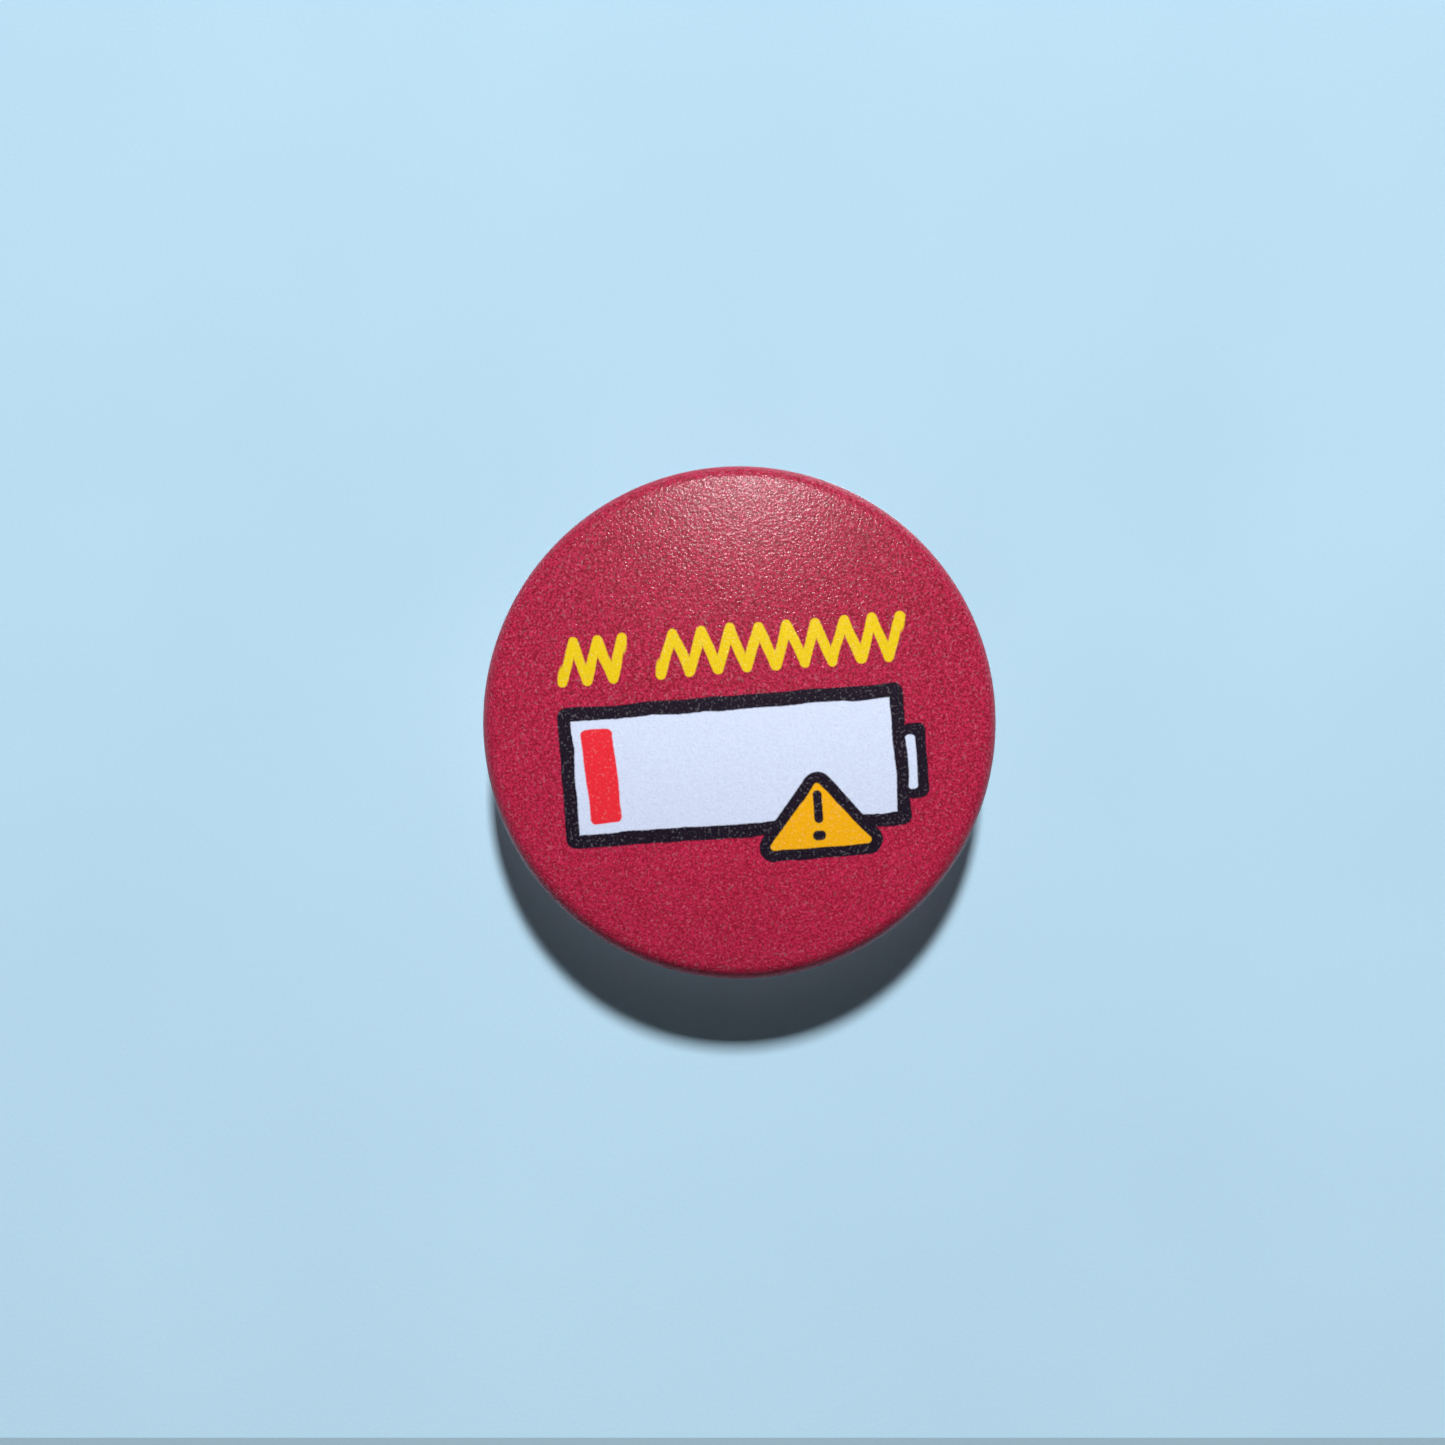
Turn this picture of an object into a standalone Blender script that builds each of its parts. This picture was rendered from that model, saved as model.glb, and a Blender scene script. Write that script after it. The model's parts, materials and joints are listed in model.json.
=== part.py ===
"""A 58 mm pin-back button badge: film, print and tinplate shell rolled round a back plate that carries a safety pin.

The badge stands upright, as worn. Its face looks along -Y, its back along +Y, and the origin is the
centre of its bounding box. Depths are measured forwards from the back plane, the flat ring on the back
plate, which is the plane that lies against the cloth.
"""

import math

import bmesh
import bpy
from mathutils import Vector

MM = 0.001

# The skin's outline: a shallow dome, a tight shoulder round the rim, and a tuck under the back.
RIM_RADIUS = 29.0 * MM
RIM_DEPTH = 3.0 * MM
SHOULDER_RADIUS = 2.6 * MM
TUCK_RADIUS = 2.5 * MM
DOME_EDGE_SLOPE = math.radians(14.2)
WIDEST = math.radians(90.0)
TUCK_END = math.radians(202.0)
TURN_STEPS = 56
DOME_SEGMENTS = 4
SHOULDER_SEGMENTS = 4
TUCK_SEGMENTS = 5

# The three skins, outermost first, with a hairline between them.
FILM_THICKNESS = 0.10 * MM
PRINT_THICKNESS = 0.12 * MM
SHELL_THICKNESS = 0.25 * MM
SKIN_GAP = 0.03 * MM

# The back plate: a flange inside the rolled rim, a flat ring at the back plane, and a recessed pan.
FLANGE_RADIUS = 27.4 * MM
FLANGE_BACK = 1.5 * MM
FLANGE_FRONT = 2.4 * MM
RING_OUTER = 25.35 * MM
RING_INNER = 23.0 * MM
RING_CHAMFER = 0.15 * MM
PAN_RADIUS = 22.6 * MM
PAN_DEPTH = 3.3 * MM
PAN_FILLET = 0.4 * MM
PLATE_THICKNESS = 1.0 * MM
PLATE_SHOULDER = 24.3 * MM

# The safety pin. Its fixed arm turns in two saddles, and its needle opens about the coil.
WIRE_RADIUS = 0.40 * MM
FIXED_ARM_DEPTH = 1.8 * MM
FIXED_ARM_HEIGHT = 2.3 * MM
COIL_CENTRE_X = -16.9 * MM
COIL_RADIUS = 1.65 * MM
COIL_PITCH = 0.90 * MM
COIL_SPLIT = 0.20
COIL_GAP = 0.09
COIL_STEPS_PER_TURN = 24
NEEDLE_SLOPE = math.radians(3.0)
NEEDLE_TIP_X = 16.6 * MM
POINT_LENGTH = 5.0 * MM
POINT_RADIUS = 0.05 * MM

SADDLE_X = 6.5 * MM
SADDLE_LENGTH = 3.0 * MM
SADDLE_RADIUS = 1.25 * MM
SADDLE_BORE = 0.55 * MM
SADDLE_ROOT = 0.5 * MM
WINDOW_LENGTH = 3.4 * MM
ROUND_STEPS = 12

# The guard: two leaves of folded sheet, joined by a spine round the fixed arm and by the end wall.
GUARD_LEFT = 12.6 * MM
GUARD_RIGHT = 19.0 * MM
GUARD_TOP = 1.0 * MM
GUARD_BOTTOM = -6.2 * MM
GUARD_THICKNESS = 2.1 * MM
GUARD_CORNER_TOP = 2.0 * MM
GUARD_CORNER_BOTTOM = 3.4 * MM
GUARD_BEVEL = 0.35 * MM
GUARD_SLOT = 1.4 * MM
GUARD_SPINE = 1.2 * MM
GUARD_WALL = 0.5 * MM
GUARD_BORE = 0.5 * MM
FIXED_ARM_END = 18.0 * MM

# Dependent places.
SHOULDER_CENTRE = RIM_RADIUS - SHOULDER_RADIUS
TUCK_CENTRE = RIM_RADIUS - TUCK_RADIUS
DOME_RADIUS = SHOULDER_RADIUS + SHOULDER_CENTRE / math.sin(DOME_EDGE_SLOPE)
DOME_CENTRE_DEPTH = RIM_DEPTH - (DOME_RADIUS - SHOULDER_RADIUS) * math.cos(DOME_EDGE_SLOPE)
APEX_DEPTH = DOME_CENTRE_DEPTH + DOME_RADIUS
BACK_PLANE_Y = APEX_DEPTH / 2
FIXED_ARM_Y = BACK_PLANE_Y - FIXED_ARM_DEPTH
PAN_FLOOR = FIXED_ARM_DEPTH - PAN_DEPTH


def clear_scene():
    for obj in list(bpy.data.objects):
        bpy.data.objects.remove(obj, do_unlink=True)


def new_collection(name):
    collection = bpy.data.collections.new(name)
    bpy.context.scene.collection.children.link(collection)
    return collection


def material(name, colour, roughness, metallic=0.0, alpha=1.0):
    """A Principled material from an sRGB colour, whose channels run from 0 to 1."""
    made = bpy.data.materials.new(name)
    made.use_nodes = True
    shader = made.node_tree.nodes["Principled BSDF"]
    linear = [((c + 0.055) / 1.055) ** 2.4 for c in colour]
    shader.inputs["Base Color"].default_value = (*linear, 1.0)
    shader.inputs["Roughness"].default_value = roughness
    shader.inputs["Metallic"].default_value = metallic
    shader.inputs["Alpha"].default_value = alpha
    return made


def add_object(name, data, collection, look=None):
    obj = bpy.data.objects.new(name, data)
    collection.objects.link(obj)
    if look:
        data.materials.append(look)
    return obj


def as_cutter(obj):
    """Marks a helper that only shapes another piece."""
    obj.hide_render = True
    obj.display_type = "WIRE"
    return obj


def face_forwards(obj):
    """Stands a turned piece up: its own +Z, the depth in front of the back plane, becomes world -Y."""
    obj.location = (0, BACK_PLANE_Y, 0)
    obj.rotation_euler = (math.radians(90), 0, 0)
    return obj


def arc(centre, radius, start, end, segments):
    """Points round a centre, with angles from the second axis towards the first."""
    angles = [start + (end - start) * i / segments for i in range(segments + 1)]
    return [(centre[0] + radius * math.sin(a), centre[1] + radius * math.cos(a)) for a in angles]


# Turned pieces


def turned(name, profile, collection, look):
    """A solid of revolution from (radius, depth) points that run down its outer side and back inside."""
    mesh = bpy.data.meshes.new(name)
    closed = profile[0][0] > 0
    edges = [(i, i + 1) for i in range(len(profile) - 1)]
    if closed:
        edges.append((len(profile) - 1, 0))
    mesh.from_pydata([(radius, 0, depth) for radius, depth in profile], edges, [])
    obj = add_object(name, mesh, collection, look)
    screw = obj.modifiers.new("Turn", "SCREW")
    screw.axis = "Z"
    screw.angle = math.tau
    screw.steps = TURN_STEPS
    screw.render_steps = TURN_STEPS
    screw.use_merge_vertices = True
    screw.merge_threshold = 0.01 * MM
    screw.use_smooth_shade = True
    return face_forwards(obj)


def skin_side(inset):
    """One face of a skin, from the apex over the rim to the tucked edge, a given distance inside the outermost."""
    dome = arc((0, DOME_CENTRE_DEPTH), DOME_RADIUS - inset, 0, DOME_EDGE_SLOPE, DOME_SEGMENTS)
    shoulder_centre = (SHOULDER_CENTRE, RIM_DEPTH)
    shoulder = arc(shoulder_centre, SHOULDER_RADIUS - inset, DOME_EDGE_SLOPE, WIDEST, SHOULDER_SEGMENTS)
    tuck = arc((TUCK_CENTRE, RIM_DEPTH), TUCK_RADIUS - inset, WIDEST, TUCK_END, TUCK_SEGMENTS)
    return dome + shoulder[1:] + tuck[1:]


def skin(name, inset, thickness, collection, look):
    """One of the nested skins. All of them share their turning steps, so their facets stay parallel."""
    profile = skin_side(inset) + skin_side(inset + thickness)[::-1]
    return turned(name, profile, collection, look)


def back_plate_profile():
    front = PAN_DEPTH + PLATE_THICKNESS
    return [
        (0, front),
        (PAN_RADIUS + PLATE_THICKNESS, front),
        (PLATE_SHOULDER, FLANGE_FRONT),
        (FLANGE_RADIUS, FLANGE_FRONT),
        (FLANGE_RADIUS, FLANGE_BACK),
        (RING_OUTER, FLANGE_BACK),
        (RING_OUTER, RING_CHAMFER),
        (RING_OUTER - RING_CHAMFER, 0),
        (RING_INNER + RING_CHAMFER, 0),
        (RING_INNER, RING_CHAMFER),
        (PAN_RADIUS, PAN_DEPTH - PAN_FILLET),
        (PAN_RADIUS - PAN_FILLET, PAN_DEPTH),
        (0, PAN_DEPTH),
    ]


# Shapes cut from a flat outline


def flat_outline(name, points, thickness, collection):
    """A closed flat outline, extruded evenly to both sides of its own plane, as a welded mesh object."""
    curve = bpy.data.curves.new(name, "CURVE")
    curve.dimensions = "2D"
    curve.fill_mode = "BOTH"
    curve.extrude = thickness / 2
    spline = curve.splines.new("POLY")
    spline.points.add(len(points) - 1)
    for point, (across, up) in zip(spline.points, points):
        point.co = (across, up, 0, 1)
    spline.use_cyclic_u = True
    source = bpy.data.objects.new(name + "_outline", curve)
    collection.objects.link(source)
    graph = bpy.context.evaluated_depsgraph_get()
    mesh = bpy.data.meshes.new_from_object(source.evaluated_get(graph))
    bpy.data.objects.remove(source, do_unlink=True)
    shape = bmesh.new()
    shape.from_mesh(mesh)
    bmesh.ops.remove_doubles(shape, verts=shape.verts, dist=0.01 * MM)
    bmesh.ops.recalc_face_normals(shape, faces=shape.faces)
    shape.to_mesh(mesh)
    shape.free()
    mesh.name = name
    return add_object(name, mesh, collection)


def arch_points(half_width, foot):
    """A round-topped arch: straight legs from its foot up to the centre line, and a half circle over it."""
    top = arc((0, 0), half_width, math.radians(-90), math.radians(90), ROUND_STEPS)
    return [(-half_width, foot)] + top + [(half_width, foot)]


def place_along_x(obj, x):
    """Turns an outline so that it faces along X, with its own +Y as world +Y, at a place on the fixed arm's axis."""
    obj.location = (x, FIXED_ARM_Y, FIXED_ARM_HEIGHT)
    obj.rotation_euler = (0, math.radians(90), 0)
    return obj


def boolean(target, name, operation, other):
    modifier = target.modifiers.new(name, "BOOLEAN")
    modifier.operation = operation
    modifier.solver = "EXACT"
    modifier.object = other


def add_saddles(plate, cutters):
    """Two moulded loops over the fixed arm, each above the window that its mould tool leaves in the pan."""
    windows = []
    for side, x in (("left", -SADDLE_X), ("right", SADDLE_X)):
        root = PAN_FLOOR - SADDLE_ROOT
        loop = flat_outline("loop_" + side, arch_points(SADDLE_RADIUS, root), SADDLE_LENGTH, cutters)
        boolean(plate, "Loop " + side, "UNION", as_cutter(place_along_x(loop, x)))
        beyond = PAN_FLOOR - 2 * PLATE_THICKNESS
        window = flat_outline("window_" + side, arch_points(SADDLE_BORE, beyond), WINDOW_LENGTH, cutters)
        windows.append((side, as_cutter(place_along_x(window, x))))
    for side, window in windows:
        boolean(plate, "Window " + side, "DIFFERENCE", window)


# The safety pin


def axis_empty(name, location, collection, parent=None):
    empty = bpy.data.objects.new(name, None)
    empty.empty_display_size = 4 * MM
    collection.objects.link(empty)
    empty.location = location
    empty.parent = parent
    return empty


def wire(name, path, radii, collection, look, parent):
    """Round wire along (x, back, up) points measured from its parent's axis."""
    curve = bpy.data.curves.new(name, "CURVE")
    curve.dimensions = "3D"
    curve.bevel_depth = WIRE_RADIUS
    curve.bevel_resolution = 2
    curve.use_fill_caps = True
    spline = curve.splines.new("POLY")
    spline.points.add(len(path) - 1)
    for point, place, radius in zip(spline.points, path, radii):
        point.co = (*place, 1)
        point.radius = radius / WIRE_RADIUS
    obj = add_object(name, curve, collection, look)
    obj.parent = parent
    return obj


def coil_point(turns):
    """A point on the coil, from its centre. The coil starts on top and runs back, down and round."""
    angle = math.radians(90) + math.tau * turns
    return Vector((COIL_RADIUS * math.cos(angle), COIL_PITCH * turns, COIL_RADIUS * math.sin(angle)))


def coil_path(start, end):
    steps = max(1, round((end - start) * COIL_STEPS_PER_TURN))
    return [coil_point(start + (end - start) * i / steps) for i in range(steps + 1)]


def fixed_arm(collection, look, swing_axis):
    """The arm in the saddles and the first part of the coil, measured from the fixed arm's axis."""
    centre = Vector((COIL_CENTRE_X, 0, -COIL_RADIUS))
    path = [Vector((FIXED_ARM_END, 0, 0))]
    path += [centre + point for point in coil_path(0, COIL_SPLIT)]
    return wire("pin_fixed_arm", path, [WIRE_RADIUS] * len(path), collection, look, swing_axis)


def needle(collection, look, coil_axis):
    """The rest of the coil and the straight needle, measured from the coil's centre."""
    leaves_coil = 1.5 - NEEDLE_SLOPE / math.tau
    path = coil_path(COIL_SPLIT + COIL_GAP, leaves_coil)
    radii = [WIRE_RADIUS] * len(path)
    root = path[-1]
    run = NEEDLE_TIP_X - COIL_CENTRE_X - root.x
    tip = Vector((root.x + run, 0, root.z - run * math.tan(NEEDLE_SLOPE)))
    shaft = tip - root
    taper_steps = 4
    taper_start = 1 - POINT_LENGTH / shaft.length
    for i in range(taper_steps + 1):
        share = i / taper_steps
        path.append(root + shaft * (taper_start + (1 - taper_start) * share))
        radii.append(POINT_RADIUS + (WIRE_RADIUS - POINT_RADIUS) * math.sqrt(1 - share))
    return wire("pin_needle", path, radii, collection, look, coil_axis)


def guard_outline():
    """The guard seen from behind, from the fixed arm's axis: square at its mouth, round at its closed end."""
    top_corner = (GUARD_RIGHT - GUARD_CORNER_TOP, GUARD_TOP - GUARD_CORNER_TOP)
    bottom_corner = (GUARD_RIGHT - GUARD_CORNER_BOTTOM, GUARD_BOTTOM + GUARD_CORNER_BOTTOM)
    quarter = math.radians(90)
    points = [(GUARD_LEFT, GUARD_TOP)]
    points += arc(top_corner, GUARD_CORNER_TOP, 0, quarter, ROUND_STEPS // 3)
    points += arc(bottom_corner, GUARD_CORNER_BOTTOM, quarter, 2 * quarter, ROUND_STEPS // 2)
    points.append((GUARD_LEFT, GUARD_BOTTOM))
    return points


def box(name, low, high, collection):
    mesh = bpy.data.meshes.new(name)
    shape = bmesh.new()
    bmesh.ops.create_cube(shape, size=1)
    size = Vector(high) - Vector(low)
    bmesh.ops.scale(shape, vec=size, verts=shape.verts)
    bmesh.ops.translate(shape, vec=(Vector(high) + Vector(low)) / 2, verts=shape.verts)
    shape.to_mesh(mesh)
    shape.free()
    return add_object(name, mesh, collection)


def cylinder_along_x(name, left, right, radius, collection):
    mesh = bpy.data.meshes.new(name)
    shape = bmesh.new()
    bmesh.ops.create_cone(
        shape, cap_ends=True, segments=2 * ROUND_STEPS, radius1=radius, radius2=radius, depth=right - left
    )
    shape.to_mesh(mesh)
    shape.free()
    obj = add_object(name, mesh, collection)
    obj.rotation_euler = (0, math.radians(90), 0)
    obj.location = ((left + right) / 2, 0, 0)
    return obj


def guard(collection, cutters, look, swing_axis):
    """The folded head. The needle lies between its leaves and swings out of its open lower edge."""
    obj = flat_outline("pin_guard", guard_outline(), GUARD_THICKNESS, collection)
    obj.data.materials.append(look)
    obj.rotation_euler = (math.radians(90), 0, 0)
    obj.parent = swing_axis
    bevel = obj.modifiers.new("Fold", "BEVEL")
    bevel.width = GUARD_BEVEL
    bevel.segments = 2
    bevel.limit_method = "ANGLE"
    bevel.angle_limit = math.radians(40)

    half_slot = GUARD_SLOT / 2
    low = (GUARD_LEFT - 2 * MM, -half_slot, GUARD_BOTTOM - 2 * MM)
    high = (GUARD_RIGHT - GUARD_WALL, half_slot, -GUARD_SPINE)
    slot = as_cutter(box("guard_slot", low, high, cutters))
    slot.parent = swing_axis
    bore_end = FIXED_ARM_END + 0.2 * MM
    bore = cylinder_along_x("guard_bore", GUARD_LEFT - 2 * MM, bore_end, GUARD_BORE, cutters)
    as_cutter(bore).parent = swing_axis
    boolean(obj, "Slot", "DIFFERENCE", slot)
    boolean(obj, "Bore", "DIFFERENCE", bore)
    return obj


def shade(obj):
    """Smooth where the surface turns gently, sharp at its edges."""
    obj.data.shade_smooth()
    obj.data.set_sharp_from_angle(angle=math.radians(35))


def main():
    clear_scene()
    parts = new_collection("button_badge")
    cutters = new_collection("button_badge_cutters")

    clear_film = material("clear_film", (0.95, 0.93, 0.95), 0.35, alpha=0.25)
    crimson_print = material("crimson_print", (0.64, 0.19, 0.29), 0.6)
    tinplate = material("tinplate", (0.72, 0.72, 0.70), 0.3, metallic=1.0)
    white_plastic = material("white_plastic", (0.90, 0.90, 0.88), 0.45)
    nickel_wire = material("nickel_wire", (0.76, 0.75, 0.72), 0.2, metallic=1.0)
    nickel_sheet = material("nickel_sheet", (0.80, 0.79, 0.76), 0.28, metallic=1.0)

    print_inset = FILM_THICKNESS + SKIN_GAP
    shell_inset = print_inset + PRINT_THICKNESS + SKIN_GAP
    skin("film_overlay", 0, FILM_THICKNESS, parts, clear_film)
    skin("printed_artwork", print_inset, PRINT_THICKNESS, parts, crimson_print)
    skin("front_shell", shell_inset, SHELL_THICKNESS, parts, tinplate)

    plate = turned("back_plate", back_plate_profile(), parts, white_plastic)
    add_saddles(plate, cutters)

    swing_axis = axis_empty("swing_axis", (0, FIXED_ARM_Y, FIXED_ARM_HEIGHT), parts)
    coil_axis = axis_empty("coil_axis", (COIL_CENTRE_X, 0, -COIL_RADIUS), parts, swing_axis)
    fixed_arm(parts, nickel_wire, swing_axis)
    needle(parts, nickel_wire, coil_axis)
    shade(guard(parts, cutters, nickel_sheet, swing_axis))


main()
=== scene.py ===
"""Looks for a 58 mm pin-back button badge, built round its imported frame.

The face looks along -Y and the back along +Y. A turned piece is given as (radius, depth) points, with
depth measured forwards from the back plane. The print is drawn in millimetres from the disc's axis, with
x to the right and the second axis up, by distance to plain shapes.
"""

import json
import math

import bmesh
import bpy
from mathutils import Matrix, Vector, noise


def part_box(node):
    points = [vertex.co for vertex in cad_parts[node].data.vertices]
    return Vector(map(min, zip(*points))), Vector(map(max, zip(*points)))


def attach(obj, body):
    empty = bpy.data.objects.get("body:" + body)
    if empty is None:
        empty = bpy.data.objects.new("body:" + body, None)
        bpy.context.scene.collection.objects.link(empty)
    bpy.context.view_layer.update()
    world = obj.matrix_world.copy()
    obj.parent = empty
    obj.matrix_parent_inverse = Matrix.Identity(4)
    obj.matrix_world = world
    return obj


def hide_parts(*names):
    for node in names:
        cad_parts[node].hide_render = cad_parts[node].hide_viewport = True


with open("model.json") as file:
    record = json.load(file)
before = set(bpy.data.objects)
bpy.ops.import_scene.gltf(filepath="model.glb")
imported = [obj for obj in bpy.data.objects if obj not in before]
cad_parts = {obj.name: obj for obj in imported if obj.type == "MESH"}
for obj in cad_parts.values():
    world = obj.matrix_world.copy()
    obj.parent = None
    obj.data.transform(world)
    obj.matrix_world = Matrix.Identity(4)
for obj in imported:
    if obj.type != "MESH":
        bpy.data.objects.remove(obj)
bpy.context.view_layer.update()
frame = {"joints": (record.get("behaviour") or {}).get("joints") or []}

MM = 0.001

# ---------------------------------------------------------------- sizes from the frame

BACK_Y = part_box("back_plate")[1].y
RIM_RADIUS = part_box("film_overlay")[1].x
APEX_DEPTH = BACK_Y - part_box("film_overlay")[0].y
PRINT_INSET = RIM_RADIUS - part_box("printed_artwork")[1].x
SHELL_INSET = RIM_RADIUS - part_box("front_shell")[1].x
JOINTS = {joint["name"]: joint for joint in frame["joints"]}
SWING_AXIS = Vector(JOINTS["pin_swing"]["pos_m"])
COIL_AXIS = Vector(JOINTS["needle_open"]["pos_m"])

# The skin's outline, with the dome's slope worked out so that it meets the frame's apex.
SHOULDER_RADIUS = 2.6 * MM
TUCK_RADIUS = 2.5 * MM
RIM_DEPTH = BACK_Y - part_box("film_overlay")[1].y + TUCK_RADIUS
SHOULDER_CENTRE = RIM_RADIUS - SHOULDER_RADIUS
TUCK_CENTRE = RIM_RADIUS - TUCK_RADIUS
DOME_EDGE_SLOPE = 2 * math.atan((APEX_DEPTH - RIM_DEPTH - SHOULDER_RADIUS) / SHOULDER_CENTRE)
DOME_RADIUS = SHOULDER_RADIUS + SHOULDER_CENTRE / math.sin(DOME_EDGE_SLOPE)
DOME_CENTRE_DEPTH = APEX_DEPTH - DOME_RADIUS
WIDEST = math.radians(90)
TUCK_END = math.radians(202)

FILM_THICKNESS = 0.10 * MM
PRINT_THICKNESS = 0.12 * MM
SHELL_THICKNESS = 0.25 * MM
SKIN_STEPS = 512
SHELL_STEPS = 256
DOME_SEGMENTS = 22
SHOULDER_SEGMENTS = 12
TUCK_SEGMENTS = 18

# The back plate.
FLANGE_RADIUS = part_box("back_plate")[1].x
FLANGE_BACK = 1.5 * MM
FLANGE_FRONT = 2.4 * MM
RING_OUTER = 25.35 * MM
RING_INNER = 23.0 * MM
RING_ROUND = 0.22 * MM
PAN_RADIUS = 22.6 * MM
PAN_DEPTH = 3.3 * MM
PAN_FILLET = 0.5 * MM
PLATE_THICKNESS = 1.0 * MM
PLATE_SHOULDER = 24.3 * MM
BEAD_RADIUS = 20.9 * MM
BEAD_WIDTH = 0.9 * MM
BEAD_HEIGHT = 0.28 * MM
BEAD_STEPS = 8
PLATE_STEPS = 256
FLOOR_Y = BACK_Y - PAN_DEPTH

SADDLE_X = 6.5 * MM
SADDLE_LENGTH = 3.0 * MM
SADDLE_RADIUS = 1.25 * MM
SADDLE_BORE = 0.55 * MM
SADDLE_ROOT = 0.5 * MM
SADDLE_ROUND = 0.16 * MM
WINDOW_LENGTH = 3.4 * MM

EJECTOR_CIRCLE = 15.0 * MM
EJECTOR_RADIUS = 1.9 * MM
EJECTOR_DEPTH = 0.07 * MM
NUB_BELOW_AXIS = 9.0 * MM
NUB_RADIUS = 0.55 * MM
NUB_HEIGHT = 0.22 * MM

# The safety pin.
WIRE_RADIUS = 0.40 * MM
COIL_RADIUS = SWING_AXIS.z - COIL_AXIS.z
COIL_PITCH = 0.90 * MM
COIL_SPLIT = 0.20
COIL_GAP = 0.09
NEEDLE_SLOPE = math.radians(3.0)
NEEDLE_TIP_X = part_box("pin_needle")[1].x
POINT_LENGTH = 5.0 * MM
POINT_RADIUS = 0.05 * MM
POINT_CURVE = 0.6
FIXED_ARM_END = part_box("pin_fixed_arm")[1].x
WIRE_SIDES = 20
SHAFT_STEPS = 24
POINT_STEPS = 12
COIL_STEPS = 64


def arc(centre, radius, start, end, segments):
    """Points round a centre, with angles from the second axis towards the first."""
    angles = [start + (end - start) * i / segments for i in range(segments + 1)]
    return [(centre[0] + radius * math.sin(a), centre[1] + radius * math.cos(a)) for a in angles]


def smooth_step(low, high, value):
    share = min(1.0, max(0.0, (value - low) / (high - low)))
    return share * share * (3 - 2 * share)


# ---------------------------------------------------------------- material graphs


def linear(red, green, blue):
    """A linear colour from sRGB channels of 0 to 255."""
    channels = [c / 255 for c in (red, green, blue)]
    return (*[c / 12.92 if c <= 0.04045 else ((c + 0.055) / 1.055) ** 2.4 for c in channels], 1.0)


class Field:
    """A number, vector or colour inside a material. Arithmetic on it adds the nodes that work it out."""

    def __init__(self, tree, socket):
        self.tree = tree
        self.socket = socket

    def math(self, operation, *others, clamp=False):
        node = self.tree.nodes.new("ShaderNodeMath")
        node.operation = operation
        node.use_clamp = clamp
        for slot, value in zip(node.inputs, (self, *others)):
            plug(self.tree, value, slot)
        return Field(self.tree, node.outputs[0])

    def vector(self, operation, other=None, scale=None):
        node = self.tree.nodes.new("ShaderNodeVectorMath")
        node.operation = operation
        plug(self.tree, self, node.inputs[0])
        if other is not None:
            plug(self.tree, other, node.inputs[1])
        if scale is not None:
            plug(self.tree, scale, node.inputs["Scale"])
        gives_number = operation in ("DOT_PRODUCT", "LENGTH", "DISTANCE")
        return Field(self.tree, node.outputs["Value" if gives_number else "Vector"])

    def __add__(self, other):
        return self.math("ADD", other)

    def __sub__(self, other):
        return self.math("SUBTRACT", other)

    def __mul__(self, other):
        return self.math("MULTIPLY", other)

    def clamped(self):
        return self.math("ADD", 0.0, clamp=True)

    def parts(self):
        node = self.tree.nodes.new("ShaderNodeSeparateXYZ")
        plug(self.tree, self, node.inputs[0])
        return [Field(self.tree, output) for output in node.outputs]


def plug(tree, value, socket):
    if isinstance(value, Field):
        tree.links.new(value.socket, socket)
    else:
        socket.default_value = value


def node(tree, kind, output=0, settings=None, **inputs):
    """A node with its settings and inputs filled in. An input's name has _ where Blender shows a space."""
    made = tree.nodes.new(kind)
    for key, value in (settings or {}).items():
        setattr(made, key, value)
    for key, value in inputs.items():
        plug(tree, value, made.inputs[key.replace("_", " ")])
    return Field(tree, made.outputs[output])


def new_material(name):
    material = bpy.data.materials.new(name)
    material.use_nodes = True
    tree = material.node_tree
    tree.nodes.clear()
    return material, tree


def show(tree, shader):
    output = tree.nodes.new("ShaderNodeOutputMaterial")
    plug(tree, shader, output.inputs["Surface"])


def place(tree, stretch=(1, 1, 1)):
    """Object coordinates in millimetres."""
    where = node(tree, "ShaderNodeTexCoord", "Object")
    return where.vector("MULTIPLY", [s / MM for s in stretch])


def clouds(tree, where, size, detail=2.0, rough=0.5, output="Fac"):
    """Noise whose features are about the given size, in the units of where."""
    return node(
        tree, "ShaderNodeTexNoise", output, Vector=where, Scale=1 / size, Detail=detail, Roughness=rough
    )


def ranged(tree, value, low, high, to_low, to_high):
    """value carried from low..high to to_low..to_high, and held at the ends."""
    return node(
        tree,
        "ShaderNodeMapRange",
        Value=value,
        From_Min=low,
        From_Max=high,
        To_Min=to_low,
        To_Max=to_high,
    )


def blended(tree, share, first, second):
    """A colour between two."""
    mix = tree.nodes.new("ShaderNodeMix")
    mix.data_type = "RGBA"
    plug(tree, share, mix.inputs["Factor"])
    plug(tree, first, mix.inputs[6])
    plug(tree, second, mix.inputs[7])
    return Field(tree, mix.outputs[2])


def mixed(tree, share, first, second):
    """A shader between two."""
    mix = tree.nodes.new("ShaderNodeMixShader")
    plug(tree, share, mix.inputs[0])
    plug(tree, first, mix.inputs[1])
    plug(tree, second, mix.inputs[2])
    return Field(tree, mix.outputs[0])


def bumped(tree, height, distance, normal=None, strength=1.0):
    """A normal roughened by a height field that is distance metres high where the field is 1."""
    inputs = {"Height": height, "Distance": distance, "Strength": strength}
    if normal is not None:
        inputs["Normal"] = normal
    return node(tree, "ShaderNodeBump", **inputs)


def principled(tree, **inputs):
    return node(tree, "ShaderNodeBsdfPrincipled", **inputs)


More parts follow.
